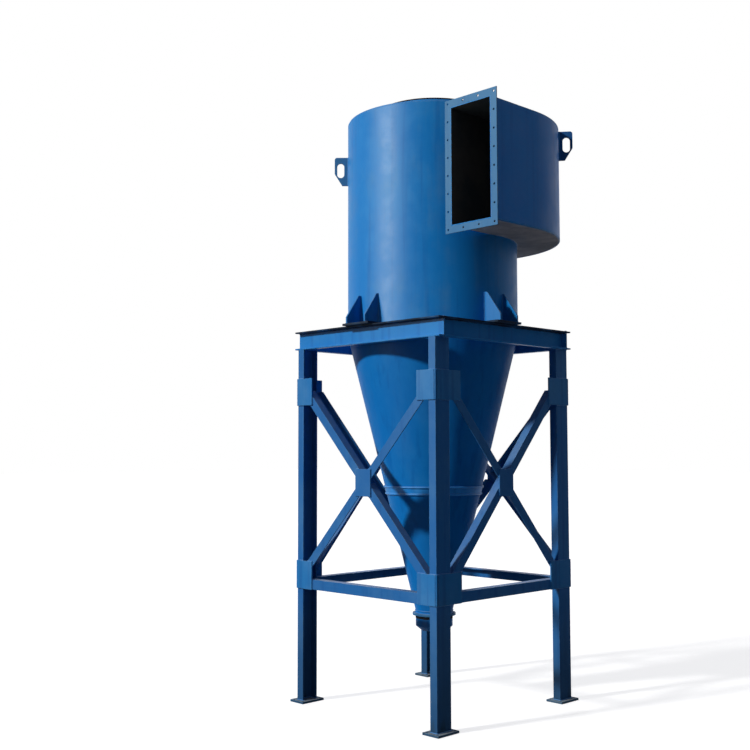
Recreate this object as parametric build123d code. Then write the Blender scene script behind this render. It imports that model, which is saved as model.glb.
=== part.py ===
from build123d import *
import os
from math import atan2, cos, degrees, hypot, radians, sin, tan

# Cyclone separator on a braced steel stand.
# Millimetres, +Z up, floor at Z = 0, the cyclone's axis on X = Y = 0.
# The inlet flange faces -Y, which is the front. The inlet duct lies on the +X side, so the
# gas turns counter-clockwise seen from above.

# Barrel and cone
barrel_diameter = 1000
barrel_height = 1262
shell_wall = 5
cone_height = 1590
cone_end_diameter = 216
cone_joint_height = 693
barrel_drop = 30
roof_thickness = 8
roof_setback = 4

# Gas outlet pipe through the roof
gas_pipe_diameter = 550
gas_pipe_dip = 30
gas_pipe_rise = 61
gas_flange_width = 50
gas_flange_thickness = 8
gas_bolt_count = 12
gas_bolt_hole = 12
gas_gasket_thickness = 8

# Scroll and inlet
inlet_width = 270
inlet_height = 640
inlet_length = 388
scroll_drop = 82
scroll_sheet = 5
scroll_lap_angle = 165
inlet_flange_width = 40
inlet_flange_thickness = 5
inlet_bolts_across = 4
inlet_bolts_up = 8
inlet_bolt_hole = 12

# Lifting lugs
lug_height = 170
lug_reach = 80
lug_thickness = 12
lug_slot_width = 42
lug_slot_height = 88
lug_slot_drop = 35
lug_slot_reach = 44
lug_corner_cut = 45
lug_corner_rise = 72
lug_corner_round = 14
barrel_lug_angle = 225
barrel_lug_drop = 182
scroll_lug_angle = 38
scroll_lug_drop = 82

# Support brackets
bracket_gusset_thickness = 10
bracket_gusset_height = 165
bracket_gusset_spacing = 145
bracket_gusset_tip = 8
bracket_gusset_toe = 36
bracket_gusset_inset = 3
bracket_offset = 30
bracket_reach = 104
bracket_pad_width = 205
bracket_pad_thickness = 12

# Dust outlet under the cone
dust_flange_diameter = 250
dust_flange_thickness = 12
dust_flange_rise = 15
dust_bolt_count = 8
dust_bolt_hole = 9
packing_bore = 172
packing_thickness = 18
spigot_collar_diameter = 214
spigot_collar_height = 44
spigot_end_diameter = 150
spigot_taper_height = 26
spigot_wall = 13
spigot_lip = 6

# Band round the joint of the two cone courses
band_height = 52
band_thickness = 3
bead_radius = 6

# Stand
stand_width = 1150
stand_height = 2140
beam_depth = 106
beam_width = 40
leg_depth = 106
leg_width = 48
channel_web = 5
channel_flange = 8
channel_root = 6
leg_setback = 30

# Base plates
base_plate_across = 110
base_plate_along = 160
base_plate_thickness = 12
anchor_hole = 14
anchor_edge = 17

# Bracing
tie_leg = 56
tie_thickness = 5
tie_bottom_height = 649
brace_leg = 50
brace_thickness = 5
brace_foot_height = 778
brace_top_drop = 260
brace_end_gap = 26
low_brace_drop = 20
brace_split_gap = 5
angle_root = 5
plate_thickness = 8
plate_margin = 4
upper_plate_height = 157
upper_plate_drop = 172
upper_plate_reach = 80
lower_plate_height = 160
lower_plate_reach = 82
lower_plate_bottom = 648
crossing_plate_width = 118
crossing_plate_height = 150

# Gap between curved faces that lie one inside the other
seat = 0.3

# How far a cut runs past what it cuts
overcut = 20

# Worked-out places
barrel_radius = barrel_diameter / 2
barrel_bottom = stand_height - barrel_drop
barrel_top = barrel_bottom + barrel_height
roof_top = barrel_top + roof_thickness
gas_pipe_top = roof_top + gas_pipe_rise
cone_bottom = barrel_bottom - cone_height
cone_joint = cone_bottom + cone_joint_height
cone_end_radius = cone_end_diameter / 2
scroll_top = barrel_top - scroll_drop
scroll_bottom = scroll_top - inlet_height
scroll_centre = inlet_width / 2
scroll_radius = barrel_radius + inlet_width / 2 + seat
inlet_inner = barrel_radius - scroll_sheet
inlet_outer = scroll_centre + scroll_radius + scroll_sheet
flange_top = cone_bottom - dust_flange_rise
flange_bottom = flange_top - dust_flange_thickness
packing_bottom = flange_bottom - packing_thickness
collar_bottom = packing_bottom - spigot_collar_height
spigot_bottom = collar_bottom - spigot_taper_height
stand_half = stand_width / 2
beam_bottom = stand_height - beam_depth
beam_web_line = stand_half - beam_width
leg_face = stand_half - leg_setback
leg_toe = leg_face - leg_width
leg_back = stand_half - leg_depth
upper_plate_bottom = beam_bottom - upper_plate_drop - upper_plate_height
brace_rise = beam_bottom - brace_top_drop - brace_foot_height
brace_centre_height = brace_foot_height + brace_rise / 2

os.makedirs("parts", exist_ok=True)


def save(name, shape):
    export_step(shape, f"parts/{name}.step")


def rod(radius, bottom, height):
    """An upright solid cylinder on the cyclone's axis."""
    return Pos(0, 0, bottom + height / 2) * Cylinder(radius, height)


def ring(outer, inner, bottom, height):
    """An upright tube or flat ring on the cyclone's axis."""
    return rod(outer, bottom, height) - rod(inner, bottom, height)


def bore(radius, bottom, height):
    """What a round cut on the axis takes away, past both ends of the height."""
    return rod(radius, bottom - overcut, height + 2 * overcut)


def bolt_holes(pitch_radius, count, hole, bottom, height):
    """Upright holes evenly spaced on a circle round the axis."""
    spots = PolarLocations(pitch_radius, count, start_angle=180 / count)
    return [spot * bore(hole / 2, bottom, height) for spot in spots]


def box_between(low, high):
    size = [b - a for a, b in zip(low, high)]
    middle = [(a + b) / 2 for a, b in zip(low, high)]
    return Pos(*middle) * Box(*size)


def upright_plate(points, thickness):
    """A plate standing across the Y axis, from an outline of (X, height) points."""
    outline = Polyline([(x, 0, z) for x, z in points], close=True)
    return extrude(make_face(outline), thickness / 2, both=True)


def revolve_outline(points):
    """Turns an outline of (radius, height) points round the axis."""
    outline = Polyline([(r, 0, z) for r, z in points], close=True)
    return revolve(make_face(outline), Axis.Z)


# Barrel
def barrel():
    """Shell with a window where the scroll's gas comes in."""
    shell = ring(barrel_radius, barrel_radius - shell_wall, barrel_bottom, barrel_height)
    reach = barrel_radius + overcut
    start = (reach, 0)
    end = (reach * cos(radians(scroll_lap_angle)), reach * sin(radians(scroll_lap_angle)))
    arc = CenterArc((0, 0), reach, 0, scroll_lap_angle)
    wedge = make_face([Line((0, 0), start), arc, Line(end, (0, 0))])
    window = Pos(0, 0, scroll_bottom) * extrude(wedge, inlet_height)
    return shell - window


def roof():
    return ring(barrel_radius - roof_setback, gas_pipe_diameter / 2 + seat, barrel_top, roof_thickness)


def gas_pipe():
    bottom = scroll_bottom - gas_pipe_dip
    radius = gas_pipe_diameter / 2
    return ring(radius, radius - shell_wall, bottom, gas_pipe_top - bottom)


def drilled_ring(inner, bottom, thickness):
    """Flat ring as wide as the gas flange, with its bolt holes."""
    body = ring(gas_pipe_diameter / 2 + seat + gas_flange_width, inner, bottom, thickness)
    pitch = (gas_pipe_diameter + gas_flange_width) / 2 + seat
    return body - bolt_holes(pitch, gas_bolt_count, gas_bolt_hole, bottom, thickness)


def gas_flange():
    bottom = gas_pipe_top - gas_flange_thickness
    return drilled_ring(gas_pipe_diameter / 2 + seat, bottom, gas_flange_thickness)


def gas_gasket():
    inner = gas_pipe_diameter / 2 - shell_wall
    return drilled_ring(inner, gas_pipe_top, gas_gasket_thickness)


# Scroll
def scroll_outline(grow):
    """Plan of the scroll and duct, as far as the inside of the wall plus grow."""
    radius = scroll_radius + grow
    right = scroll_centre + radius
    mouth = (right, -inlet_length)
    turn = CenterArc((scroll_centre, 0), radius, 0, 180)
    start = turn.position_at(1)
    rest = Polyline(start, (scroll_centre, 0), (scroll_centre, -inlet_length), mouth, (right, 0))
    return make_face([turn, rest])


def scroll_wall():
    plan = scroll_outline(scroll_sheet) - scroll_outline(0)
    return Pos(0, 0, scroll_bottom) * extrude(plan, inlet_height)


def scroll_plate(bottom):
    """Flat floor or lid of the duct and scroll, cut round the barrel."""
    body = Pos(0, 0, bottom) * extrude(scroll_outline(scroll_sheet), scroll_sheet)
    low = (scroll_centre - overcut, -inlet_length - overcut, bottom - overcut)
    high = (inlet_inner, 0, bottom + overcut)
    return body - box_between(low, high) - bore(barrel_radius + seat, bottom, scroll_sheet)


def duct_inner_wall():
    low = (inlet_inner, -inlet_length, scroll_bottom)
    high = (barrel_radius, 0, scroll_top)
    return box_between(low, high) - bore(barrel_radius + seat, scroll_bottom, inlet_height)


def duct_frame(grow, depth):
    """Block round the mouth of the duct, larger all round than its outside by grow."""
    low = (inlet_inner - grow, -inlet_length, scroll_bottom - scroll_sheet - grow)
    high = (inlet_outer + grow, depth - inlet_length, scroll_top + scroll_sheet + grow)
    return box_between(low, high)


def inlet_flange():
    """Angle frame round the mouth of the duct, drilled all round."""
    body = duct_frame(inlet_flange_width, inlet_flange_thickness)
    body += duct_frame(inlet_flange_thickness, inlet_flange_width)
    body -= duct_frame(0, inlet_flange_width)
    middle = ((inlet_inner + inlet_outer) / 2, -inlet_length, (scroll_bottom + scroll_top) / 2)
    across = inlet_outer - inlet_inner + inlet_flange_width
    up = inlet_height + 2 * scroll_sheet + inlet_flange_width
    drill = Pos(*middle) * Rot(90, 0, 0) * Cylinder(inlet_bolt_hole / 2, 2 * overcut)
    for i in range(inlet_bolts_across):
        for j in range(inlet_bolts_up):
            if 0 < i < inlet_bolts_across - 1 and 0 < j < inlet_bolts_up - 1:
                continue
            x = across * (i / (inlet_bolts_across - 1) - 0.5)
            z = up * (j / (inlet_bolts_up - 1) - 0.5)
            body -= Pos(x, 0, z) * drill
    return body


# Lifting lugs
def lug(wall_radius, top):
    """Slotted plate standing out along +X from a round wall."""
    inner = wall_radius - overcut
    outer = wall_radius + lug_reach
    foot = top - lug_height
    lower_edge = [(outer, foot + lug_corner_rise), (outer - lug_corner_cut, foot)]
    points = [(inner, top), (outer, top), *lower_edge, (inner, foot)]
    outline = make_face(Polyline([(x, 0, z) for x, z in points], close=True))
    outline = fillet(outline.vertices().group_by(Axis.X)[-1], lug_corner_round)
    plate = extrude(outline, lug_thickness / 2, both=True)
    slot = Plane.XZ * (Rot(0, 0, 90) * SlotOverall(lug_slot_height, lug_slot_width))
    hole = extrude(slot, lug_thickness, both=True)
    slot_height = top - lug_slot_drop - lug_slot_height / 2
    plate -= Pos(wall_radius + lug_slot_reach, 0, slot_height) * hole
    return plate - bore(wall_radius + seat, foot, lug_height)


def barrel_lug():
    return Rot(0, 0, barrel_lug_angle) * lug(barrel_radius, barrel_top - barrel_lug_drop)


def scroll_lug():
    plate = lug(scroll_radius + scroll_sheet, barrel_top - scroll_lug_drop)
    return Pos(scroll_centre, 0, 0) * (Rot(0, 0, scroll_lug_angle) * plate)


# Support brackets
def bracket():
    """Pad and two gussets on the right-hand side, standing on the beam."""
    inner = barrel_radius - overcut
    outer = barrel_radius + bracket_reach
    half = bracket_pad_width / 2
    foot = stand_height + bracket_pad_thickness
    top = foot + bracket_gusset_height
    toe = outer - bracket_gusset_inset
    tip = barrel_radius + bracket_gusset_tip
    slope = [(toe, foot), (toe, foot + bracket_gusset_toe), (tip, top)]
    gusset = upright_plate([(inner, foot), *slope, (inner, top)], bracket_gusset_thickness)
    body = box_between((inner, -half, stand_height), (outer, half, foot))
    for side in (-1, 1):
        body += Pos(0, side * bracket_gusset_spacing / 2, 0) * gusset
    body = Pos(0, -bracket_offset, 0) * body
    return body - bore(barrel_radius + seat, stand_height, top - stand_height)


# Cone
def cone_radius(height):
    """Outside radius of the cone at a height above the floor."""
    share = (height - cone_bottom) / cone_height
    return cone_end_radius + share * (barrel_radius - cone_end_radius)


def cone_course(bottom, top):
    slant = hypot(cone_height, barrel_radius - cone_end_radius) / cone_height
    wall = shell_wall * slant
    points = [
        (cone_radius(bottom), bottom),
        (cone_radius(top), top),
        (cone_radius(top) - wall, top),
        (cone_radius(bottom) - wall, bottom),
    ]
    return revolve_outline(points)


def cone_band():
    """Strap over the joint with a rolled bead along each edge."""
    low = cone_joint - band_height / 2
    high = cone_joint + band_height / 2
    inside = [(cone_radius(low) + seat, low), (cone_radius(high) + seat, high)]
    outside = [(radius + band_thickness, height) for radius, height in reversed(inside)]
    body = revolve_outline(inside + outside)
    for height in (low + bead_radius, high - bead_radius):
        middle = cone_radius(height) + seat + band_thickness
        body += Pos(0, 0, height) * Torus(middle, bead_radius)
    below = low - overcut
    above = high + overcut
    slope = [(cone_radius(height) + seat, height) for height in (below, above)]
    return body - revolve_outline([(0, below), *slope, (0, above)])


# Dust outlet
def cone_neck():
    """Short straight neck below the cone, which carries the dust flange."""
    height = cone_bottom - flange_bottom
    return ring(cone_end_radius, cone_end_radius - shell_wall, flange_bottom, height)


def dust_flange():
    inner = cone_end_radius + seat
    body = ring(dust_flange_diameter / 2, inner, flange_bottom, dust_flange_thickness)
    pitch = (inner + dust_flange_diameter / 2) / 2
    height = dust_flange_thickness
    return body - bolt_holes(pitch, dust_bolt_count, dust_bolt_hole, flange_bottom, height)


def packing():
    return ring(cone_end_radius, packing_bore / 2, packing_bottom, packing_thickness)


def spigot():
    collar = spigot_collar_diameter / 2
    end = spigot_end_diameter / 2
    points = [
        (collar, packing_bottom),
        (collar, collar_bottom),
        (end, spigot_bottom),
        (end - spigot_lip, spigot_bottom),
        (collar - spigot_wall, collar_bottom),
        (collar - spigot_wall, packing_bottom),
    ]
    return revolve_outline(points)


# Rolled sections
def channel_profile(width, depth):
    """Channel with the back of its web on local X = 0 and its flanges towards +X."""
    outer = Pos(width / 2, 0) * Rectangle(width, depth)
    inside_depth = depth - 2 * channel_flange
    trough = Pos(channel_web + width / 2, 0) * Rectangle(width, inside_depth)
    roots = trough.vertices().group_by(Axis.X)[0]
    return outer - fillet(roots, channel_root)


def angle_profile(leg, thickness):
    """Angle with its heel at the origin, one leg along local +X and one along local -Y."""
    outer = Pos(leg / 2, -leg / 2) * Rectangle(leg, leg)
    hollow = Pos(leg / 2 + thickness, -leg / 2 - thickness) * Rectangle(leg, leg)
    root = hollow.vertices().sort_by(Axis.X)[:2].sort_by(Axis.Y)[-1]
    return outer - fillet(root, angle_root)


# Top frame
def beam(side):
    """Top beam of one side, toes outwards. The front and back ones run right across."""
    long_one = side in ("front", "back")
    length = stand_width if long_one else 2 * beam_web_line
    direction = face_planes[side].z_dir
    along = (1, 0, 0) if long_one else (0, 1, 0)
    middle = stand_height - beam_depth / 2
    origin = direction * beam_web_line - Vector(*along) * (length / 2) + Vector(0, 0, middle)
    plane = Plane(origin, x_dir=direction, z_dir=along)
    return extrude(plane * channel_profile(beam_width, beam_depth), length)


def leg(right, front):
    """Leg with its web on the side of the stand and its toes towards the other leg of that face."""
    origin = (right * leg_face, front * (stand_half - leg_depth / 2), base_plate_thickness)
    plane = Plane(origin, x_dir=(-right, 0, 0), z_dir=(0, 0, 1))
    profile = plane * channel_profile(leg_width, leg_depth)
    return extrude(profile, beam_bottom - base_plate_thickness)


def base_plate(right, front):
    x = right * (leg_face - leg_width / 2)
    y = front * (stand_half - leg_depth / 2)
    half_x = base_plate_across / 2
    half_y = base_plate_along / 2
    plate = box_between((x - half_x, y - half_y, 0), (x + half_x, y + half_y, base_plate_thickness))
    hole_x = half_x - anchor_edge
    hole_y = half_y - anchor_edge
    for i in (-1, 1):
        for j in (-1, 1):
            hole = bore(anchor_hole / 2, 0, base_plate_thickness)
            plate -= Pos(x + i * hole_x, y + j * hole_y, 0) * hole
    return plate


# Faces of the stand: local X runs along the face, local Y is up and local Z points outwards
face_planes = {
    "front": Plane((0, -stand_half, 0), x_dir=(1, 0, 0), z_dir=(0, -1, 0)),
    "right": Plane((leg_face, 0, 0), x_dir=(0, 1, 0), z_dir=(1, 0, 0)),
    "back": Plane((0, stand_half, 0), x_dir=(-1, 0, 0), z_dir=(0, 1, 0)),
    "left": Plane((-leg_face, 0, 0), x_dir=(0, -1, 0), z_dir=(-1, 0, 0)),
}
face_openings = {"front": leg_toe, "right": leg_back, "back": leg_toe, "left": leg_back}
face_edges = {"front": leg_face, "right": stand_half, "back": leg_face, "left": stand_half}

# On each face the diagonal that runs lower: 1 rises along the face's X, -1 falls
low_braces = {"front": 1, "right": -1, "back": 1, "left": -1}


def tie(side):
    """Horizontal angle between two legs, flat leg in the face and the other at the top, inwards."""
    half = face_openings[side]
    top = tie_bottom_height + tie_leg
    start = Plane((-half, top, 0), x_dir=(0, 0, -1), z_dir=(1, 0, 0))
    bar = extrude(start * angle_profile(tie_leg, tie_thickness), 2 * half)
    return face_planes[side].location * bar


def brace_line(side):
    """Half length and slope of the diagonals of a face."""
    half = face_openings[side] - brace_end_gap
    return hypot(half, brace_rise / 2), degrees(atan2(brace_rise / 2, half))


def middle_height(side, lean):
    """Height at which a diagonal passes the middle of its face."""
    if low_braces[side] == lean:
        return brace_centre_height - low_brace_drop
    return brace_centre_height


def diagonal(side, lean):
    """Angle across a face, its second leg on the upper edge."""
    half_length, slope = brace_line(side)
    heel = Plane((-half_length, brace_leg / 2, 0), x_dir=(0, 0, -1), z_dir=(1, 0, 0))
    bar = extrude(heel * angle_profile(brace_leg, brace_thickness), 2 * half_length)
    return Pos(0, middle_height(side, lean), 0) * (Rot(0, 0, lean * slope) * bar)


def brace(side, lean):
    return face_planes[side].location * diagonal(side, lean)


def crossing_plate(side):
    """Plate over the place where the two diagonals of a face meet."""
    half_length, slope = brace_line(side)
    rising = middle_height(side, 1)
    falling = middle_height(side, -1)
    x = (falling - rising) / 2 / tan(radians(slope))
    y = (falling + rising) / 2
    low = (x - crossing_plate_width / 2, y - crossing_plate_height / 2, 0)
    high = (x + crossing_plate_width / 2, y + crossing_plate_height / 2, plate_thickness)
    return box_between(low, high)


def split_brace(side, lean):
    """Diagonal cut through where the other one runs past, its halves joined by the crossing plate."""
    half_length, slope = brace_line(side)
    width = brace_leg + 2 * brace_split_gap
    cutter = Box(2 * half_length, width, 2 * (brace_leg + overcut))
    gap = Pos(0, middle_height(side, -lean), 0) * (Rot(0, 0, -lean * slope) * cutter)
    halves = diagonal(side, lean) - gap
    return face_planes[side].location * (halves + crossing_plate(side))


def corner_plate(side, sign, bottom, height, reach):
    """Flat plate on one face of the stand, from the leg's outer edge to past its inner one."""
    inner = face_openings[side] - reach
    outer = face_edges[side] - plate_margin
    ends = sorted((sign * inner, sign * outer))
    low = (ends[0], bottom, 0)
    high = (ends[1], bottom + height, plate_thickness)
    return face_planes[side].location * box_between(low, high)


def corner_plates(right, front, bottom, height, reach):
    """The two plates of one corner at one level, one on each face of the stand."""
    long_face = "front" if front < 0 else "back"
    side_face = "right" if right > 0 else "left"
    on_long = corner_plate(long_face, -right * front, bottom, height, reach)
    on_side = corner_plate(side_face, right * front, bottom, height, reach)
    return Compound(children=[on_long, on_side])


# Cyclone body
save("barrel", barrel())
save("roof", roof())
save("gas_pipe", gas_pipe())
save("gas_flange", gas_flange())
save("gas_gasket", gas_gasket())
save("scroll_wall", scroll_wall())
save("scroll_lid", scroll_plate(scroll_top))
save("scroll_floor", scroll_plate(scroll_bottom - scroll_sheet))
save("duct_inner_wall", duct_inner_wall())
save("inlet_flange", inlet_flange())
save("barrel_lug", barrel_lug())
save("scroll_lug", scroll_lug())
for quarter, side in enumerate(("right", "back", "left", "front")):
    save(f"bracket_{side}", Rot(0, 0, 90 * quarter) * bracket())
save("cone_upper", cone_course(cone_joint, barrel_bottom))
save("cone_lower", cone_course(cone_bottom, cone_joint))
save("cone_band", cone_band())
save("cone_neck", cone_neck())
save("dust_flange", dust_flange())
save("packing_ring", packing())
save("dust_spigot", spigot())

# Stand
for side in face_planes:
    save(f"beam_{side}", beam(side))
    save(f"tie_{side}", tie(side))
    save(f"brace_{side}", brace(side, 1))
    save(f"split_brace_{side}", split_brace(side, -1))
corners = {"front_right": (1, -1), "front_left": (-1, -1), "back_right": (1, 1), "back_left": (-1, 1)}
for name, (right, front) in corners.items():
    save(f"leg_{name}", leg(right, front))
    save(f"base_plate_{name}", base_plate(right, front))
    upper = corner_plates(right, front, upper_plate_bottom, upper_plate_height, upper_plate_reach)
    lower = corner_plates(right, front, lower_plate_bottom, lower_plate_height, lower_plate_reach)
    save(f"upper_plates_{name}", upper)
    save(f"lower_plates_{name}", lower)
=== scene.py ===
from math import cos, degrees, hypot, pi, radians, sin, sqrt

import bpy
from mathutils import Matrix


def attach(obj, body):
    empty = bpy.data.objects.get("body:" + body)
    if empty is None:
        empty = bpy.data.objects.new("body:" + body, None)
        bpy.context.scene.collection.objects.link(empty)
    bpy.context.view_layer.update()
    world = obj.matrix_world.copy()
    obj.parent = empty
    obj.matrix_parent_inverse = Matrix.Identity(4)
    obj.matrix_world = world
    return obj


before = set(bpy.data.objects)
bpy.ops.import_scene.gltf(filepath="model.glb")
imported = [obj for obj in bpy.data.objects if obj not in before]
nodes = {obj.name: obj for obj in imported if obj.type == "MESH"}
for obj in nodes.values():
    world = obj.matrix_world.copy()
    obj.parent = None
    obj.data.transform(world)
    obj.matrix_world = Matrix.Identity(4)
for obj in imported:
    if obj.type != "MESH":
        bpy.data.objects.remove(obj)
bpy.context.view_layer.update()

# Sizes of the separator in metres, as in its CAD source
barrel_radius = 0.500
barrel_bottom = 2.110
barrel_top = 3.372
roof_top = 3.380
roof_setback = 0.004
cone_bottom = 0.520
cone_end_radius = 0.108
gas_pipe_radius = 0.275
gas_flange_bottom = 3.433
scroll_bottom = 2.650
scroll_top = 3.290
scroll_sheet = 0.005
scroll_centre = 0.135
scroll_outer = 0.6403
duct_left = 0.495
duct_right = 0.7753
inlet_face = -0.388
inlet_collar_depth = 0.040
dust_flange_top = 0.505
stand_half = 0.575
stand_top = 2.140
beam_bottom = 2.034
beam_web_line = 0.535
leg_face = 0.545
leg_toe = 0.497
leg_back = 0.469
channel_web = 0.005
channel_flange = 0.008
base_plate_top = 0.012
plate_margin = 0.004
upper_plate_reach = 0.080
lower_plate_reach = 0.082
upper_plate = (1.705, 1.862)
lower_plate = (0.648, 0.808)
tie_heights = (0.649, 0.705)
brace_centre = 1.276
brace_half_rise = 0.498
brace_end_gap = 0.026
brace_half_leg = 0.025
low_brace_drop = 0.020
low_braces = {"front": 1, "right": -1, "back": 1, "left": -1}
crossing_half = (0.059, 0.075)
bracket_pad_top = 2.152
bracket_gusset_top = 2.317
bracket_gusset_half = 0.005
bracket_gusset_places = (-0.1025, 0.0425)
bracket_gusset_toe = 0.601
lug_half = 0.006
# Lifting lugs: centre, angle, radius of the shell, lowest and highest point
barrel_lug = (0.0, 225, 0.500, 3.020, 3.190)
scroll_lug = (0.135, 38, 0.6453, 3.120, 3.290)

# Seams of the shell that run up and down: angle round the axis
barrel_seam_angle = 200
upper_cone_seam_angle = 165
lower_cone_seam_angle = 150
# Radius and height where the upper cone course ends and where the lower one starts
upper_course_foot = (0.2803, 1.239)
lower_course_head = (0.2675, 1.187)

# Radius of the weld beads
body_bead = 0.0036
scroll_bead = 0.0030
stand_bead = 0.0034
corner_bead = 0.0056
# Short welds behind the inlet flange, and the length below which a weld is left out
stitch_length = 0.045
stitch_gap = 0.06
shortest_weld = 0.008
# The scroll's rim welds lie this far in from its edge and this deep in the sheets of its floor and lid
bead_sink = 0.0042
# The weld where the scroll's wall ends on the barrel: out from the shell, and in front of the axis
lap_out = 0.003
lap_back = 0.001
# How far the corner welds lie outside the leg's corner
corner_out = 0.001
# Points of a bead in one ripple, and how thin and thick it gets between them
ripple_points = 3.0
bead_thinnest = 0.90
bead_thickest = 1.08

# Camera at the photograph's viewing angle
camera_place = (4.3087, -4.6949, 1.4405)
camera_azimuth = 45.622
camera_rise = 4.011
camera_roll = 0.104
camera_lens = 51.89
sensor_width = 36.0
camera_reach = 200.0

# Light and floor
strip_width = 1.6
strip_height = 8.4
strip_power = 5400
strip_colour = (1.0, 0.68, 0.46)
strip_azimuth = -18
strip_distance = 9.0
strip_middle = 5.2
fill_colour = (0.78, 0.80, 1.0, 1)
fill_strength = 0.168
floor_half = 60.0
floor_bounce = (0.125, 0.125, 0.13, 1)
floor_pale = (0.50, 0.50, 0.50, 1)
floor_glow = 0.72
white = (1, 1, 1, 1)

# Colours of wear and dirt, of painted shade with grime inside, of dust with painted bounce light on faces
# that look down, and of a painted black band
worn_edge = (0.16, 0.33, 0.50, 1)
chalky_haze = (0.115, 0.250, 0.360, 1)
settled_dust = (0.27, 0.30, 0.32, 1)
# Inner faces of the shell and duct: painted shade, near black, with grime.
thin_grime_and_shade = (0.052, 0.051, 0.050, 1)
thick_grime_and_shade = (0.022, 0.028, 0.034, 1)
splashed_dirt = (0.015, 0.042, 0.080, 1)
# A black band painted along the edge of the shelf at the top of the stand.
shelf_black_band = (0.006, 0.012, 0.028, 1)
# Faces that look down: dust, with painted light bounced up from the ground.
pale_dust_and_bounce = (0.520, 0.500, 0.490, 1)
dark_dust_and_bounce = (0.300, 0.300, 0.315, 1)
black_rubber = (0.005, 0.010, 0.018, 1)
dusty_rubber = (0.018, 0.026, 0.036, 1)
gloss_tint = (0.45, 0.78, 1.0, 1)

# Paints, each as its plain, faded and deep tone
shell_tones = ((0.004, 0.182, 0.530, 1), (0.016, 0.238, 0.590, 1), (0.003, 0.134, 0.425, 1))
cone_tones = ((0.004, 0.156, 0.480, 1), (0.012, 0.205, 0.540, 1), (0.003, 0.116, 0.390, 1))
# The band is painted lighter than the cone: painted highlight where its welds catch the light.
band_tones_painted_highlight = ((0.010, 0.210, 0.600, 1), (0.030, 0.250, 0.620, 1), (0.003, 0.134, 0.425, 1))
scroll_tones = ((0.005, 0.150, 0.500, 1), (0.016, 0.195, 0.550, 1), (0.004, 0.112, 0.400, 1))
# The brackets are painted deeper than the shell: painted shade on their gussets.
bracket_tones_painted_shade = ((0.004, 0.150, 0.430, 1), (0.014, 0.190, 0.480, 1), (0.003, 0.110, 0.340, 1))
# The scroll's lug is painted dark: painted shade.
lug_tones_painted_shade = ((0.004, 0.060, 0.220, 1), (0.010, 0.090, 0.280, 1), (0.003, 0.040, 0.160, 1))
flange_tones = ((0.025, 0.146, 0.330, 1), (0.050, 0.188, 0.375, 1), (0.020, 0.110, 0.270, 1))
beam_tones = ((0.008, 0.175, 0.500, 1), (0.022, 0.220, 0.550, 1), (0.005, 0.122, 0.410, 1))
plate_tones = ((0.014, 0.156, 0.415, 1), (0.052, 0.210, 0.465, 1), (0.008, 0.086, 0.290, 1))
leg_tones = ((0.012, 0.118, 0.352, 1), (0.044, 0.165, 0.375, 1), (0.008, 0.086, 0.290, 1))
foot_tones = ((0.018, 0.075, 0.160, 1), (0.090, 0.115, 0.140, 1), (0.010, 0.030, 0.060, 1))
bead_tones = ((0.020, 0.150, 0.420, 1), (0.050, 0.210, 0.480, 1), (0.003, 0.134, 0.425, 1))

# Where marks lie: heights of the shelf's painted black band, of the duct's floor and ceiling, which get
# painted shade with grime, and the reach of splashed dirt
shelf = (2.128, 2.153)
duct_levels = (scroll_bottom, scroll_top)
splash_reach = 0.75
# An upright line beyond the duct, which the gas side of its inner wall looks towards
duct_axis = (1.5, 0, 0)


# Camera and light
def place_camera():
    data = bpy.data.cameras.new("camera")
    camera = bpy.data.objects.new("camera", data)
    bpy.context.scene.collection.objects.link(camera)
    data.sensor_width = sensor_width
    data.lens = camera_lens
    data.clip_end = camera_reach
    camera.rotation_mode = "XYZ"
    camera.location = camera_place
    camera.rotation_euler = (radians(90 + camera_rise), radians(camera_roll), radians(camera_azimuth))
    bpy.context.scene.camera = camera


def add_sun(name, azimuth, elevation, level, spread, tint):
    """Sun lamp. Azimuth 0 shines from -Y and 90 from +X.

    Level 1 shows a white surface that faces the lamp as white."""
    data = bpy.data.lights.new(name, "SUN")
    data.energy = pi * level
    data.angle = radians(spread)
    data.color = tint
    lamp = bpy.data.objects.new(name, data)
    bpy.context.scene.collection.objects.link(lamp)
    lamp.rotation_euler = (radians(90 - elevation), 0, radians(azimuth))


def add_strip():
    """Tall strip lamp that shows only as the satin highlight down round pieces."""
    data = bpy.data.lights.new("strip_light", "AREA")
    data.shape = "RECTANGLE"
    data.size = strip_width
    data.size_y = strip_height
    data.energy = strip_power
    data.color = strip_colour
    lamp = bpy.data.objects.new("strip_light", data)
    bpy.context.scene.collection.objects.link(lamp)
    azimuth = radians(strip_azimuth)
    lamp.location = (strip_distance * sin(azimuth), -strip_distance * cos(azimuth), strip_middle)
    lamp.rotation_euler = (radians(90), 0, azimuth)
    lamp.visible_camera = False
    lamp.visible_diffuse = False


def light_studio():
    """Key light from the front left, a soft light from behind, the strip and an even fill."""
    scene = bpy.context.scene
    scene.view_settings.view_transform = "Standard"
    add_sun("key_light", azimuth=-16, elevation=27.5, level=1.0, spread=5, tint=(1.0, 0.985, 0.96))
    add_sun("back_light", azimuth=225.6, elevation=32, level=0.30, spread=30, tint=(0.95, 0.97, 1.0))
    add_strip()
    scene.world = bpy.data.worlds.new("studio")
    scene.world.use_nodes = True
    tree = scene.world.node_tree
    tree.nodes.clear()
    fill = add(tree, "ShaderNodeBackground", Color=fill_colour, Strength=fill_strength)
    backdrop = add(tree, "ShaderNodeBackground", Color=white, Strength=1.0)
    shown = blend_shaders(tree, shown_directly(tree), fill.outputs[0], backdrop.outputs[0])
    add(tree, "ShaderNodeOutputWorld", Surface=shown)


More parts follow.
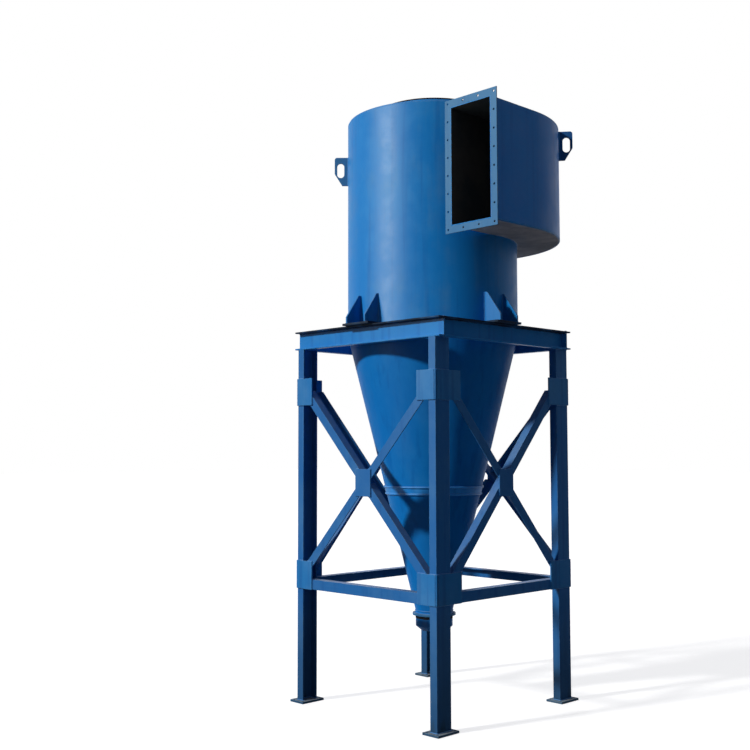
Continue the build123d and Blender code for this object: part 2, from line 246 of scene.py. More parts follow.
# Node helpers
def add(tree, kind, settings=None, **inputs):
    """Adds a node; a plain value sets an input and a socket links to it. An underscore stands for a space."""
    node = tree.nodes.new(kind)
    for key, value in (settings or {}).items():
        setattr(node, key, value)
    for key, value in inputs.items():
        put(tree, node.inputs[key.replace("_", " ")], value)
    return node


def put(tree, socket, value):
    if isinstance(value, bpy.types.NodeSocket):
        tree.links.new(value, socket)
    else:
        socket.default_value = value


def maths(tree, operation, *values, clamp=False):
    node = tree.nodes.new("ShaderNodeMath")
    node.operation = operation
    node.use_clamp = clamp
    for socket, value in zip(node.inputs, values):
        put(tree, socket, value)
    return node.outputs[0]


def mix_colour(tree, share, first, second):
    node = tree.nodes.new("ShaderNodeMix")
    node.data_type = "RGBA"
    for place, value in ((0, share), (6, first), (7, second)):
        put(tree, node.inputs[place], value)
    return node.outputs[2]


def ramp_value(tree, value, low, high, to_low=0.0, to_high=1.0):
    """Smooth step of a value between low and high."""
    node = tree.nodes.new("ShaderNodeMapRange")
    node.interpolation_type = "SMOOTHSTEP"
    for place, number in enumerate((value, low, high, to_low, to_high)):
        put(tree, node.inputs[place], number)
    return node.outputs[0]


def noise(tree, vector, scale, detail=2.0, roughness=0.5):
    node = add(tree, "ShaderNodeTexNoise", Vector=vector, Scale=scale, Detail=detail, Roughness=roughness)
    return node.outputs["Fac"]


def stretched(tree, vector, amount):
    return add(tree, "ShaderNodeMapping", Vector=vector, Scale=amount).outputs[0]


def vector_maths(tree, operation, first, second):
    node = add(tree, "ShaderNodeVectorMath", {"operation": operation})
    put(tree, node.inputs[0], first)
    put(tree, node.inputs[1], second)
    return node.outputs


def height_of(tree, vector):
    return add(tree, "ShaderNodeSeparateXYZ", Vector=vector).outputs["Z"]


def face_direction(tree):
    return tree.nodes.new("ShaderNodeNewGeometry").outputs["Normal"]


def upward_share(tree):
    """1 on a face that looks straight up, 0 on an upright one and -1 on one that looks down."""
    return height_of(tree, face_direction(tree))


def blend_shaders(tree, share, first, second):
    node = add(tree, "ShaderNodeMixShader", Fac=share)
    tree.links.new(first, node.inputs[1])
    tree.links.new(second, node.inputs[2])
    return node.outputs[0]


def shown_directly(tree):
    """1 for rays that show the background as such: from the camera, in gloss and through glass."""
    rays = tree.nodes.new("ShaderNodeLightPath").outputs
    direct = maths(tree, "MAXIMUM", rays["Is Camera Ray"], rays["Is Glossy Ray"])
    return maths(tree, "MAXIMUM", direct, rays["Is Transmission Ray"])


def new_group(name, inputs, outputs):
    """Shader group with named sockets. Returns the tree, its inputs and a function that sets an output."""
    tree = bpy.data.node_groups.new(name, "ShaderNodeTree")
    for socket, kind, default in inputs:
        made = tree.interface.new_socket(name=socket, in_out="INPUT", socket_type="NodeSocket" + kind)
        if default is not None:
            made.default_value = default
    for socket, kind in outputs:
        tree.interface.new_socket(name=socket, in_out="OUTPUT", socket_type="NodeSocket" + kind)
    given = tree.nodes.new("NodeGroupInput").outputs
    result = tree.nodes.new("NodeGroupOutput").inputs

    def give(socket, value):
        put(tree, result[socket], value)

    return tree, given, give


def place_group(tree, group, **inputs):
    node = tree.nodes.new("ShaderNodeGroup")
    node.node_tree = group
    for key, value in inputs.items():
        put(tree, node.inputs[key.replace("_", " ")], value)
    return node.outputs


# Shared finishes
def paint_tone_group():
    """Enamel colour that drifts from place to place, with runs down the sheet and a chalky haze."""
    tree, given, give = new_group(
        "paint_tone",
        [("Place", "Vector", None), ("Paint", "Color", shell_tones[0]), ("Faded", "Color", shell_tones[1]),
         ("Deep", "Color", shell_tones[2]), ("Fading", "Float", 0.5), ("Haze", "Float", 0.25)],
        [("Color", "Color"), ("Sheen", "Float")])
    place = given["Place"]
    broad = noise(tree, place, 1.7, detail=3.0)
    patchy = noise(tree, place, 9.0, detail=4.0, roughness=0.6)
    drift = maths(tree, "ADD", maths(tree, "MULTIPLY", broad, 0.6), maths(tree, "MULTIPLY", patchy, 0.4))
    fade = maths(tree, "MULTIPLY", ramp_value(tree, drift, 0.42, 0.66), given["Fading"])
    colour = mix_colour(tree, fade, given["Paint"], given["Faded"])
    runs = noise(tree, stretched(tree, place, (26.0, 26.0, 1.1)), 1.0, detail=3.0)
    colour = mix_colour(tree, ramp_value(tree, runs, 0.50, 0.70, 0.0, 0.50), colour, given["Deep"])
    streaks = noise(tree, stretched(tree, place, (7.0, 7.0, 0.7)), 1.0, detail=5.0, roughness=0.62)
    clouds = noise(tree, place, 3.3, detail=5.0, roughness=0.6)
    veil = maths(tree, "ADD", maths(tree, "MULTIPLY", streaks, 0.5), maths(tree, "MULTIPLY", clouds, 0.5))
    haze = ramp_value(tree, veil, 0.47, 0.66, 0.0, given["Haze"])
    give("Color", mix_colour(tree, haze, colour, chalky_haze))
    give("Sheen", patchy)
    return tree


def edge_wear_group():
    """Mask of paint worn off sharp edges, broken up so that it isn't even."""
    tree, given, give = new_group(
        "edge_wear",
        [("Place", "Vector", None), ("Width", "Float", 0.003), ("Amount", "Float", 0.5)],
        [("Worn", "Float"), ("Rounded", "Vector")])
    bevel = add(tree, "ShaderNodeBevel", {"samples": 6}, Radius=given["Width"]).outputs[0]
    flatness = vector_maths(tree, "DOT_PRODUCT", bevel, face_direction(tree))["Value"]
    edge = ramp_value(tree, flatness, 0.995, 0.86)
    broken = ramp_value(tree, noise(tree, given["Place"], 34.0, detail=5.0, roughness=0.65), 0.40, 0.62)
    give("Worn", maths(tree, "MULTIPLY", maths(tree, "MULTIPLY", edge, broken), given["Amount"], clamp=True))
    give("Rounded", bevel)
    return tree


def dust_group():
    """Mask of dust that lies on faces that look up and gathers in patches."""
    tree, given, give = new_group(
        "settled_dust",
        [("Place", "Vector", None), ("Amount", "Float", 0.5)],
        [("Dust", "Float")])
    place = given["Place"]
    lying = ramp_value(tree, upward_share(tree), 0.35, 0.95)
    thickness = noise(tree, place, 6.0, detail=6.0, roughness=0.6)
    patches = ramp_value(tree, thickness, 0.30, 0.75, 0.35, 1.0)
    film = ramp_value(tree, noise(tree, place, 3.1, detail=3.0), 0.50, 0.80, 0.0, 0.03)
    share = maths(tree, "ADD", maths(tree, "MULTIPLY", lying, patches), film)
    give("Dust", maths(tree, "MULTIPLY", share, given["Amount"], clamp=True))
    return tree


def sprayed_surface_group():
    """Height of the sprayed enamel: orange peel, slow waves of rolled sheet and a few specks."""
    tree, given, give = new_group(
        "sprayed_surface",
        [("Place", "Vector", None), ("Peel", "Float", 0.3), ("Waves", "Float", 1.0)],
        [("Height", "Float")])
    place = given["Place"]
    peel = noise(tree, place, 260.0, detail=2.0)
    waves = noise(tree, place, 3.4, detail=1.0)
    specks = ramp_value(tree, noise(tree, place, 95.0, detail=1.0), 0.72, 0.80)
    height = maths(tree, "MULTIPLY", peel, given["Peel"])
    height = maths(tree, "ADD", height, maths(tree, "MULTIPLY", waves, given["Waves"]))
    give("Height", maths(tree, "ADD", height, maths(tree, "MULTIPLY", specks, 0.25)))
    return tree


def inward_group():
    """Mask of faces that look in towards an upright axis, which get painted shade with grime."""
    tree, given, give = new_group(
        "inward_faces",
        [("Place", "Vector", None), ("Axis", "Vector", (0, 0, 0))],
        [("Inside", "Float")])
    away = vector_maths(tree, "SUBTRACT", given["Place"], given["Axis"])[0]
    flat = vector_maths(tree, "MULTIPLY", away, (1, 1, 0))[0]
    outward = add(tree, "ShaderNodeVectorMath", {"operation": "NORMALIZE"}, Vector=flat).outputs[0]
    facing = vector_maths(tree, "DOT_PRODUCT", outward, face_direction(tree))["Value"]
    give("Inside", ramp_value(tree, facing, -0.15, -0.35))
    return tree


def level_group():
    """Mask of the duct's floor and ceiling, on their sides towards the gas, which get painted shade with
    grime.
    """
    tree, given, give = new_group(
        "duct_inside",
        [("Place", "Vector", None), ("Low", "Float", 0.0), ("High", "Float", 1.0)],
        [("Inside", "Float")])
    height = height_of(tree, given["Place"])
    upward = upward_share(tree)
    at_floor = ramp_value(tree, maths(tree, "SUBTRACT", height, given["Low"]), 0.003, 0.001)
    at_ceiling = ramp_value(tree, maths(tree, "SUBTRACT", height, given["High"]), -0.003, -0.001)
    floor = maths(tree, "MULTIPLY", ramp_value(tree, upward, 0.5, 0.8), at_floor)
    ceiling = maths(tree, "MULTIPLY", ramp_value(tree, upward, -0.5, -0.8), at_ceiling)
    give("Inside", maths(tree, "ADD", floor, ceiling, clamp=True))
    return tree


def ledge_group():
    """Mask of a black band painted between two heights, along the edge of a shelf and thinner on top."""
    tree, given, give = new_group(
        "ledge_black_band",
        [("Place", "Vector", None), ("Low", "Float", 0.0), ("High", "Float", 1.0)],
        [("Darkening", "Float")])
    place = given["Place"]
    height = height_of(tree, place)
    ragged = maths(tree, "ADD", height, maths(tree, "MULTIPLY", noise(tree, place, 22.0, detail=4.0), 0.010))
    above = ramp_value(tree, maths(tree, "SUBTRACT", ragged, given["Low"]), 0.001, 0.006)
    below = ramp_value(tree, maths(tree, "SUBTRACT", height, given["High"]), 0.001, -0.001)
    thinnest = ramp_value(tree, upward_share(tree), 0.6, 0.9, 0.72, 0.25)
    patches = ramp_value(tree, noise(tree, place, 7.0, detail=3.0), 0.30, 0.55, thinnest, 1.0)
    give("Darkening", maths(tree, "MULTIPLY", maths(tree, "MULTIPLY", above, below), patches, clamp=True))
    return tree


def foot_dirt_group():
    """Mask of splashed dirt, thick at the floor and thinning out up the legs."""
    tree, given, give = new_group(
        "foot_dirt",
        [("Place", "Vector", None), ("Reach", "Float", 1.0)],
        [("Darkening", "Float")])
    drawn_up = stretched(tree, given["Place"], (9.0, 9.0, 2.5))
    ragged = maths(tree, "MULTIPLY", noise(tree, drawn_up, 1.0, detail=5.0), 0.8)
    height = maths(tree, "DIVIDE", height_of(tree, given["Place"]), given["Reach"])
    share = maths(tree, "SUBTRACT", height, maths(tree, "SUBTRACT", ragged, 0.4))
    thin = ramp_value(tree, share, 1.0, 0.1, 0.0, 0.62)
    thick = ramp_value(tree, share, 0.12, -0.05, 0.0, 0.35)
    give("Darkening", maths(tree, "ADD", thin, thick, clamp=True))
    return tree


groups = {
    "tone": paint_tone_group(),
    "wear": edge_wear_group(),
    "dust": dust_group(),
    "spray": sprayed_surface_group(),
    "inward": inward_group(),
    "level": level_group(),
    "ledge": ledge_group(),
    "foot": foot_dirt_group(),
}


# Materials
def new_material(name):
    """An empty material and its tree."""
    material = bpy.data.materials.new(name)
    material.use_nodes = True
    tree = material.node_tree
    tree.nodes.clear()
    return material, tree


def place_on_piece(tree):
    return tree.nodes.new("ShaderNodeTexCoord").outputs["Object"]


def rougher(tree, rough, mask, least):
    """Raises the roughness to a least value where a mask is full."""
    return maths(tree, "MAXIMUM", rough, maths(tree, "MULTIPLY", mask, least))


def underside_dust_and_bounce(tree, place, colour, rough):
    """Pale grey-brown in clouds on the faces that look down: dust, with painted light bounced up from the
    ground.
    """
    cloud = ramp_value(tree, noise(tree, place, 4.0, detail=5.0, roughness=0.6), 0.35, 0.65)
    downward = ramp_value(tree, upward_share(tree), -0.4, -0.8)
    dust_and_bounce = mix_colour(tree, cloud, pale_dust_and_bounce, dark_dust_and_bounce)
    return mix_colour(tree, downward, colour, dust_and_bounce), rougher(tree, rough, downward, 0.8)


def shade_and_gas_grime(tree, place, colour, rough, inner):
    """Painted shade, near black, with stained grime where the gas passes."""
    stain = ramp_value(tree, noise(tree, place, 5.0, detail=4.0), 0.35, 0.7)
    grime_and_shade = mix_colour(tree, stain, thick_grime_and_shade, thin_grime_and_shade)
    return mix_colour(tree, inner, colour, grime_and_shade), rougher(tree, rough, inner, 0.85)


def splashes(tree, place, colour, rough, reach):
    """Splashed dirt up to a height above the floor."""
    low = place_group(tree, groups["foot"], Place=place, Reach=reach)["Darkening"]
    rough = maths(tree, "ADD", rough, maths(tree, "MULTIPLY", low, 0.25), clamp=True)
    return mix_colour(tree, low, colour, splashed_dirt), rough


def ledge_line(tree, place, colour, rough, heights):
    """Black band painted along the edge of a shelf."""
    band_mask = place_group(tree, groups["ledge"], Place=place, Low=heights[0], High=heights[1])["Darkening"]
    return mix_colour(tree, band_mask, colour, shelf_black_band), rougher(tree, rough, band_mask, 0.75)


def enamel(name, tones, fading=0.5, wear=0.5, dust=0.4, roughness=0.44, waves=1.0, gloss=0.12, haze=0.25,
           inside=None, level=None, under=False, splash=None, ledge=None):
    """Sprayed enamel over steel, in its plain, faded and deep tone.

    Inside is the axis that inner faces look towards; they get painted shade, near black, with grime.
    Level is the heights of the duct's floor and ceiling, whose faces towards the gas get the same.
    Under paints faces that look down pale grey-brown: dust, with painted light bounced up from the ground.
    Splash is how far up dirt from the floor reaches. Ledge is the heights between which a black band
    is painted on the edge of a shelf."""
    material, tree = new_material(name)
    place = place_on_piece(tree)
    paint, faded, deep = tones
    tone = place_group(tree, groups["tone"], Place=place, Paint=paint, Faded=faded, Deep=deep, Fading=fading,
                       Haze=haze)
    edges = place_group(tree, groups["wear"], Place=place, Width=0.0035, Amount=wear)
    settled = place_group(tree, groups["dust"], Place=place, Amount=dust)["Dust"]
    colour = mix_colour(tree, edges["Worn"], tone["Color"], worn_edge)
    colour = mix_colour(tree, settled, colour, settled_dust)
    rough = ramp_value(tree, tone["Sheen"], 0.35, 0.65, roughness - 0.03, roughness + 0.05)
    rough = maths(tree, "ADD", rough, maths(tree, "MULTIPLY", settled, 0.35), clamp=True)
    if under:
        colour, rough = underside_dust_and_bounce(tree, place, colour, rough)
    if inside is not None:
        inner = place_group(tree, groups["inward"], Place=place, Axis=inside)["Inside"]
        colour, rough = shade_and_gas_grime(tree, place, colour, rough, inner)
    if level is not None:
        inner = place_group(tree, groups["level"], Place=place, Low=level[0], High=level[1])["Inside"]
        colour, rough = shade_and_gas_grime(tree, place, colour, rough, inner)
    if splash is not None:
        colour, rough = splashes(tree, place, colour, rough, splash)
    if ledge is not None:
        colour, rough = ledge_line(tree, place, colour, rough, ledge)
    sprayed = place_group(tree, groups["spray"], Place=place, Peel=0.18, Waves=waves)["Height"]
    bump = add(tree, "ShaderNodeBump", Strength=0.35, Distance=0.0016, Height=sprayed,
               Normal=edges["Rounded"])
    shader = add(tree, "ShaderNodeBsdfPrincipled", Base_Color=colour, Roughness=rough, Normal=bump.outputs[0])
    shader.inputs["Specular IOR Level"].default_value = gloss
    shader.inputs["Specular Tint"].default_value = gloss_tint
    add(tree, "ShaderNodeOutputMaterial", Surface=shader.outputs[0])
    return material


def rubber(name):
    """Black rubber of the packing ring and the gasket, dulled by dust."""
    material, tree = new_material(name)
    place = place_on_piece(tree)
    grain = noise(tree, place, 140.0, detail=4.0)
    colour = mix_colour(tree, ramp_value(tree, grain, 0.4, 0.75, 0.0, 0.5), black_rubber, dusty_rubber)
    rough = ramp_value(tree, grain, 0.3, 0.7, 0.62, 0.82)
    bump = add(tree, "ShaderNodeBump", Strength=0.5, Distance=0.0008, Height=grain)
    shader = add(tree, "ShaderNodeBsdfPrincipled", Base_Color=colour, Roughness=rough, Normal=bump.outputs[0])
    shader.inputs["Specular IOR Level"].default_value = 0.03
    add(tree, "ShaderNodeOutputMaterial", Surface=shader.outputs[0])
    return material


def floor_material():
    """Pale floor that shows white where it is lit and keeps a soft shadow."""
    material, tree = new_material("studio_floor")
    bounce = add(tree, "ShaderNodeBsdfDiffuse", Color=floor_bounce)
    pale = add(tree, "ShaderNodeBsdfDiffuse", Color=floor_pale)
    glow = add(tree, "ShaderNodeEmission", Color=white, Strength=floor_glow)
    lit = tree.nodes.new("ShaderNodeAddShader")
    tree.links.new(pale.outputs[0], lit.inputs[0])
    tree.links.new(glow.outputs[0], lit.inputs[1])
    shown = blend_shaders(tree, shown_directly(tree), bounce.outputs[0], lit.outputs[0])
    add(tree, "ShaderNodeOutputMaterial", Surface=shown)
    return material


def lay_floor():
    """Large flat floor that runs into the white backdrop."""
    corners = [(x * floor_half, y * floor_half, 0) for x, y in ((-1, -1), (1, -1), (1, 1), (-1, 1))]
    mesh = bpy.data.meshes.new("floor")
    mesh.from_pydata(corners, [], [(0, 1, 2, 3)])
    floor = bpy.data.objects.new("floor", mesh)
    bpy.context.scene.collection.objects.link(floor)
    mesh.materials.append(floor_material())


def dress(material, *names):
    """Gives CAD nodes a material."""
    for name in names:
        mesh = nodes[name].data
        if not mesh.materials:
            mesh.materials.append(material)
        for place in range(len(mesh.materials)):
            mesh.materials[place] = material


def names_starting(*starts):
    return [name for name in nodes if name.startswith(starts)]


# Weld seams: each is a line of points, and whether it comes back to its first point
def arc(radius, height, start=0, end=360, centre=0.0, step=3):
    """Points round an upright axis, one for about every step of degrees."""
    count = max(2, round(abs(end - start) / step))
    closed = abs(end - start) >= 360
    turns = [radians(start + (end - start) * i / count) for i in range(count + (0 if closed else 1))]
    return [(centre + radius * cos(a), radius * sin(a), height) for a in turns], closed


def line(*points):
    return list(points), False


def loop(*points):
    return list(points), True


def turned(seam, degrees_turned):
    """A seam turned about the cyclone's axis."""
    points, closed = seam
    a = radians(degrees_turned)
    return [(x * cos(a) - y * sin(a), x * sin(a) + y * cos(a), z) for x, y, z in points], closed


def stitches(seam, length, gap):
    """Breaks a straight seam into short welds."""
    (first, last), closed = seam
    total = hypot(*(b - a for a, b in zip(first, last)))
    count = max(1, int((total + gap) / (length + gap)))
    spare = (total - count * length) / count
    parts = []
    for i in range(count):
        start = (spare / 2 + i * (length + spare)) / total
        end = start + length / total
        parts.append(line(*(tuple(a + (b - a) * t for a, b in zip(first, last)) for t in (start, end))))
    return parts


def bracket_seams(quarter):
    """Welds of one bracket's gussets, up the shell and along the pad."""
    seams = []
    for place in bracket_gusset_places:
        for side in (-1, 1):
            y = place + side * bracket_gusset_half
            x = sqrt(barrel_radius ** 2 - y ** 2)
            root = (x, y, bracket_pad_top)
            seams.append(turned(line(root, (x, y, bracket_gusset_top)), 90 * quarter))
            seams.append(turned(line(root, (bracket_gusset_toe, y, bracket_pad_top)), 90 * quarter))
    return seams


def lug_seams(lug):
    """Welds up both sides of a lifting lug."""
    centre, angle, radius, low, high = lug
    seams = []
    for side in (-1, 1):
        points, closed = turned(line((radius, side * lug_half, low), (radius, side * lug_half, high)), angle)
        seams.append(([(x + centre, y, z) for x, y, z in points], closed))
    return seams


def body_seams():
    seams = [
        arc(barrel_radius - roof_setback, barrel_top),
        arc(barrel_radius, barrel_bottom),
        arc(cone_end_radius, cone_bottom),
        arc(cone_end_radius, dust_flange_top, step=6),
        arc(gas_pipe_radius, roof_top),
        arc(gas_pipe_radius, gas_flange_bottom),
    ]
    shoulder = (barrel_radius, barrel_bottom)
    rim = (barrel_radius, barrel_top)
    outlet = (cone_end_radius, cone_bottom)
    for first, last, angle in ((shoulder, rim, barrel_seam_angle),
                               (shoulder, upper_course_foot, upper_cone_seam_angle),
                               (lower_course_head, outlet, lower_cone_seam_angle)):
        seams.append(turned(line((first[0], 0, first[1]), (last[0], 0, last[1])), angle))
    for quarter in range(4):
        seams += bracket_seams(quarter)
    for lug in (barrel_lug, scroll_lug):
        seams += lug_seams(lug)
    return seams


def scroll_seams():
    """Welds of the scroll to the barrel, along its rims and behind the inlet flange."""
    under = scroll_bottom - scroll_sheet
    over = scroll_top + scroll_sheet
    tangent = degrees(-sqrt(1 - (duct_left / barrel_radius) ** 2))
    seams = [arc(barrel_radius, under, tangent, 180), arc(barrel_radius, over, tangent, 180)]
    lap = -barrel_radius - lap_out
    seams.append(line((lap, -lap_back, under), (lap, -lap_back, over)))
    wall_y = -sqrt(barrel_radius ** 2 - duct_left ** 2)
    seams.append(line((duct_left, wall_y, under), (duct_left, wall_y, over)))
    back = inlet_face + inlet_collar_depth
    rim = scroll_outer - bead_sink
    for height in (scroll_bottom - bead_sink, scroll_top + bead_sink):
        points, closed = arc(rim, height, 0, 180, scroll_centre)
        seams.append(([(scroll_centre + rim, back, height)] + points, closed))
    corners = [(duct_left, under), (duct_right, under), (duct_right, over), (duct_left, over)]
    for first, last in zip(corners, corners[1:] + corners[:1]):
        edge = line((first[0], back, first[1]), (last[0], back, last[1]))
        seams += stitches(edge, stitch_length, stitch_gap)
    return seams


def on_face(side, x, height):
    """A point on one face of the stand, x along the face as seen from outside."""
    if side == "front":
        return (x, -stand_half, height)
    if side == "back":
        return (-x, stand_half, height)
    if side == "right":
        return (leg_face, x, height)
    return (-leg_face, -x, height)


def overlap(first, second):
    """The stretch that two ranges share, or nothing when it is too short to weld."""
    low = max(first[0], second[0])
    high = min(first[1], second[1])
    return (low, high) if high - low > shortest_weld else None


def edge_seams(side, lean_line, box):
    """Welds where a diagonal leaves a plate, through the plate's upright and level edges.

    lean_line is the diagonal's height in the middle of the face and its slope there."""
    middle, slope = lean_line
    left, right, low, high = box
    spread = brace_half_leg * hypot(1, slope)
    seams = []
    for x in (left, right):
        centre = middle + slope * x
        part = overlap((low, high), (centre - spread, centre + spread))
        if part:
            seams.append(line(*(on_face(side, x, z) for z in part)))
    for z in (low, high):
        centre = (z - middle) / slope
        part = overlap((left, right), (centre - spread / abs(slope), centre + spread / abs(slope)))
        if part:
            seams.append(line(*(on_face(side, x, z) for x in part)))
    return seams


def face_seams(side):
    """Seams of one face: corner plates on the legs, tie ends, brace ends and the crossing plate."""
    opening = leg_toe if side in ("front", "back") else leg_back
    edge = (leg_face if side in ("front", "back") else stand_half) - plate_margin
    slope = brace_half_rise / (opening - brace_end_gap)
    middles = {lean: brace_centre - (low_brace_drop if low_braces[side] == lean else 0) for lean in (1, -1)}
    seams = []
    for sign in (-1, 1):
        for (low, high), reach in ((upper_plate, upper_plate_reach), (lower_plate, lower_plate_reach)):
            seams.append(line(*(on_face(side, sign * x, z) for x, z in
                                ((opening, high), (edge, high), (edge, low), (opening, low)))))
            lean = sign if low == upper_plate[0] else -sign
            inner, outer = sorted((sign * (opening - reach), sign * (opening - brace_end_gap)))
            seams += edge_seams(side, (middles[lean], lean * slope), (inner, outer, low, high))
        inner = sign * (opening - lower_plate_reach)
        seams.append(line(*(on_face(side, inner, z) for z in tie_heights)))
    across = (middles[-1] - middles[1]) / 2 / slope
    height = (middles[-1] + middles[1]) / 2
    half_width, half_height = crossing_half
    box = (across - half_width, across + half_width, height - half_height, height + half_height)
    for lean in (1, -1):
        seams += edge_seams(side, (middles[lean], lean * slope), box)
    return seams


def leg_seams(right, front):
    """Welds round a leg's foot and where its head meets the beams."""
    back = leg_back + channel_flange
    web = leg_face - channel_web
    face = stand_half - channel_flange
    outline = [(leg_toe, stand_half), (leg_face, stand_half), (leg_face, leg_back), (leg_toe, leg_back),
               (leg_toe, back), (web, back), (web, face), (leg_toe, face)]
    head = [(leg_toe, leg_back), (leg_face, leg_back), (leg_face, stand_half)]
    return [loop(*((right * x, front * y, base_plate_top) for x, y in outline)),
            line(*((right * x, front * y, beam_bottom) for x, y in head))]


def beam_corner_seams(right, front):
    """Welds where two beams meet over a leg."""
    x = right * beam_web_line
    y = front * beam_web_line
    seams = [line((x, y, height), (right * stand_half, y, height)) for height in (beam_bottom, stand_top)]
    return seams + [line((x, y, beam_bottom), (x, y, stand_top))]


def stand_seams():
    seams = []
    for side in ("front", "right", "back", "left"):
        seams += face_seams(side)
    for right in (-1, 1):
        for front in (-1, 1):
            seams += leg_seams(right, front) + beam_corner_seams(right, front)
    return seams


def corner_seams():
    """Upright welds that close the corner between the two plates on a leg."""
    x = leg_face + corner_out
    y = stand_half + corner_out
    return [line(*((right * x, front * y, z) for z in heights))
            for right in (-1, 1) for front in (-1, 1) for heights in (upper_plate, lower_plate)]


def bead_tree():
    """Geometry Nodes tree that lays a rippled weld bead along every line of a mesh."""
    tree = bpy.data.node_groups.new("weld_bead", "GeometryNodeTree")
    made = {}
    for name, kind, default in (("Seams", "Geometry", None), ("Bead Radius", "Float", 0.0035),
                                ("Ripple Length", "Float", 0.007), ("Ripple Depth", "Float", 0.16),
                                ("Sides", "Int", 7), ("Seed", "Int", 4), ("Finish", "Material", None)):
        made[name] = tree.interface.new_socket(name=name, in_out="INPUT", socket_type="NodeSocket" + kind)
        if default is not None:
            made[name].default_value = default
    tree.interface.new_socket(name="Beads", in_out="OUTPUT", socket_type="NodeSocketGeometry")
    given = tree.nodes.new("NodeGroupInput").outputs
    curve = add(tree, "GeometryNodeMeshToCurve", Mesh=given["Seams"]).outputs[0]
    step = maths(tree, "DIVIDE", given["Ripple Length"], ripple_points)
    even = add(tree, "GeometryNodeResampleCurve", {"mode": "LENGTH"}, Curve=curve, Length=step).outputs[0]
    along = tree.nodes.new("GeometryNodeSplineParameter").outputs["Length"]
    turn = maths(tree, "MULTIPLY", maths(tree, "DIVIDE", along, given["Ripple Length"]), pi)
    swell = maths(tree, "ABSOLUTE", maths(tree, "SINE", turn))
    ripple = maths(tree, "MULTIPLY", swell, given["Ripple Depth"])
    uneven = add(tree, "FunctionNodeRandomValue", {"data_type": "FLOAT"}, Seed=given["Seed"])
    uneven.inputs[2].default_value = bead_thinnest
    uneven.inputs[3].default_value = bead_thickest
    size = maths(tree, "ADD", uneven.outputs[1], ripple)
    ring = add(tree, "GeometryNodeCurvePrimitiveCircle", Resolution=given["Sides"],
               Radius=given["Bead Radius"]).outputs[0]
    tube = add(tree, "GeometryNodeCurveToMesh", Curve=even, Profile_Curve=ring, Scale=size, Fill_Caps=True)
    smooth = add(tree, "GeometryNodeSetShadeSmooth", Geometry=tube.outputs[0], Shade_Smooth=True)
    whole = add(tree, "GeometryNodeRealizeInstances", Geometry=smooth.outputs[0])
    dressed = add(tree, "GeometryNodeSetMaterial", Geometry=whole.outputs[0], Material=given["Finish"])
    add(tree, "NodeGroupOutput", Beads=dressed.outputs[0])
    return tree, {name: socket.identifier for name, socket in made.items()}


bead_nodes, bead_inputs = bead_tree()


def lay_beads(name, seams, radius, material):
    """Turns lines of seam into one plain mesh of weld beads that rides on the separator."""
    points, edges = [], []
    for run, closed in seams:
        first = len(points)
        points += run
        edges += [(first + i, first + i + 1) for i in range(len(run) - 1)]
        if closed:
            edges.append((len(points) - 1, first))
    mesh = bpy.data.meshes.new(name + "_lines")
    mesh.from_pydata(points, edges, [])
    guide = bpy.data.objects.new(name + "_lines", mesh)
    bpy.context.scene.collection.objects.link(guide)
    modifier = guide.modifiers.new("beads", "NODES")
    modifier.node_group = bead_nodes
    modifier[bead_inputs["Bead Radius"]] = radius
    modifier[bead_inputs["Finish"]] = material
    bpy.context.view_layer.update()
    evaluated = guide.evaluated_get(bpy.context.evaluated_depsgraph_get())
    plain = bpy.data.meshes.new_from_object(evaluated)
    plain.name = name
    bpy.data.objects.remove(guide)
    beads = bpy.data.objects.new(name, plain)
    bpy.context.scene.collection.objects.link(beads)
    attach(beads, "root")


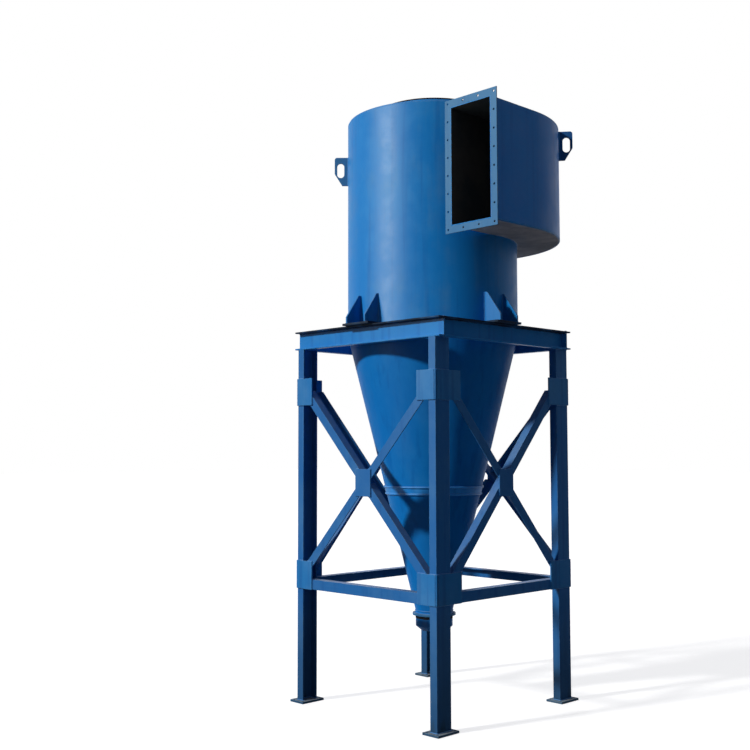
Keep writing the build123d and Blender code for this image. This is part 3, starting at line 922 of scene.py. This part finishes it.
def dress_shell():
    shell_axis = (0, 0, 0)
    cover = enamel("shell_enamel", shell_tones)
    dress(cover, "roof", "gas_flange")
    # Barrel, gas pipe and cone: inner faces get painted shade, near black, with grime.
    rolled = enamel("shell_enamel_round", shell_tones, inside=shell_axis)
    dress(rolled, "barrel", "gas_pipe")
    cone = enamel("cone_enamel", cone_tones, gloss=0.03, haze=0.08, inside=shell_axis)
    dress(cone, "cone_upper", "cone_lower", "cone_neck", "dust_spigot")
    # Band paint lighter than the cone's: painted highlight of the welds catching light.
    band = enamel("band_enamel_painted_highlight", band_tones_painted_highlight, gloss=0.20)
    dress(band, "cone_band")
    # Bracket paint deeper than the shell's: painted shade on the gussets. The pads also get the shelf's
    # painted black band.
    bracket = enamel("bracket_enamel_painted_shade", bracket_tones_painted_shade, gloss=0.08, ledge=shelf)
    dress(bracket, *names_starting("bracket_"))
    # Lug paint dark: painted shade.
    lug = enamel("lug_enamel_painted_shade", lug_tones_painted_shade, gloss=0.08)
    dress(lug, "scroll_lug")
    flange = enamel("flange_enamel", flange_tones, fading=0.7, wear=0.8, dust=0.5, roughness=0.5, waves=0.3,
                    gloss=0.08, haze=0.20)
    dress(flange, "inlet_flange", "dust_flange", "barrel_lug")
    dress(rubber("packing_rubber"), "packing_ring", "gas_gasket")


def dress_scroll():
    # Scroll, duct wall, lid and floor: faces towards the gas get painted shade, near black, with grime.
    wall = enamel("scroll_enamel", scroll_tones, haze=0.12, inside=(scroll_centre, 0, 0))
    dress(wall, "scroll_wall")
    duct = enamel("duct_wall_enamel", shell_tones, inside=duct_axis)
    dress(duct, "duct_inner_wall")
    lid = enamel("lid_enamel", shell_tones, level=duct_levels)
    dress(lid, "scroll_lid")
    # Faces that look down get dust with painted light bounced up from the ground.
    underside = enamel("underside_dust_and_bounce", shell_tones, gloss=0.05, level=duct_levels, under=True)
    dress(underside, "scroll_floor")


def dress_stand():
    """Enamels of the stand. Returns that of the plates, which the welds at their corners share."""
    steelwork = {"wear": 0.7, "dust": 0.5, "roughness": 0.46, "waves": 0.5, "gloss": 0.06}
    # The beams' top edge gets a painted black band.
    beams = enamel("stand_enamel", beam_tones, fading=0.6, haze=0.08, ledge=shelf, **steelwork)
    dress(beams, *names_starting("beam_"))
    plates = enamel("plate_enamel", plate_tones, fading=0.7, haze=0.10, splash=splash_reach, **steelwork)
    dress(plates, *names_starting("upper_plates_", "lower_plates_"))
    legs = enamel("leg_enamel", leg_tones, fading=0.6, haze=0.08, splash=splash_reach, **steelwork)
    dress(legs, *names_starting("leg_", "tie_", "brace_", "split_brace_"))
    feet = enamel("foot_plate_enamel", foot_tones, fading=0.9, wear=0.8, dust=0.9, roughness=0.6, waves=0.5,
                  gloss=0.05, haze=0.40)
    dress(feet, *names_starting("base_plate_"))
    return plates


def lay_welds(plate_enamel):
    beads = enamel("bead_enamel", bead_tones, wear=0.0, waves=0.0)
    lay_beads("body_welds", body_seams(), body_bead, beads)
    lay_beads("scroll_welds", scroll_seams(), scroll_bead, beads)
    lay_beads("stand_welds", stand_seams(), stand_bead, beads)
    lay_beads("corner_welds", corner_seams(), corner_bead, plate_enamel)


place_camera()
light_studio()
lay_floor()
dress_shell()
dress_scroll()
plate_enamel = dress_stand()
lay_welds(plate_enamel)
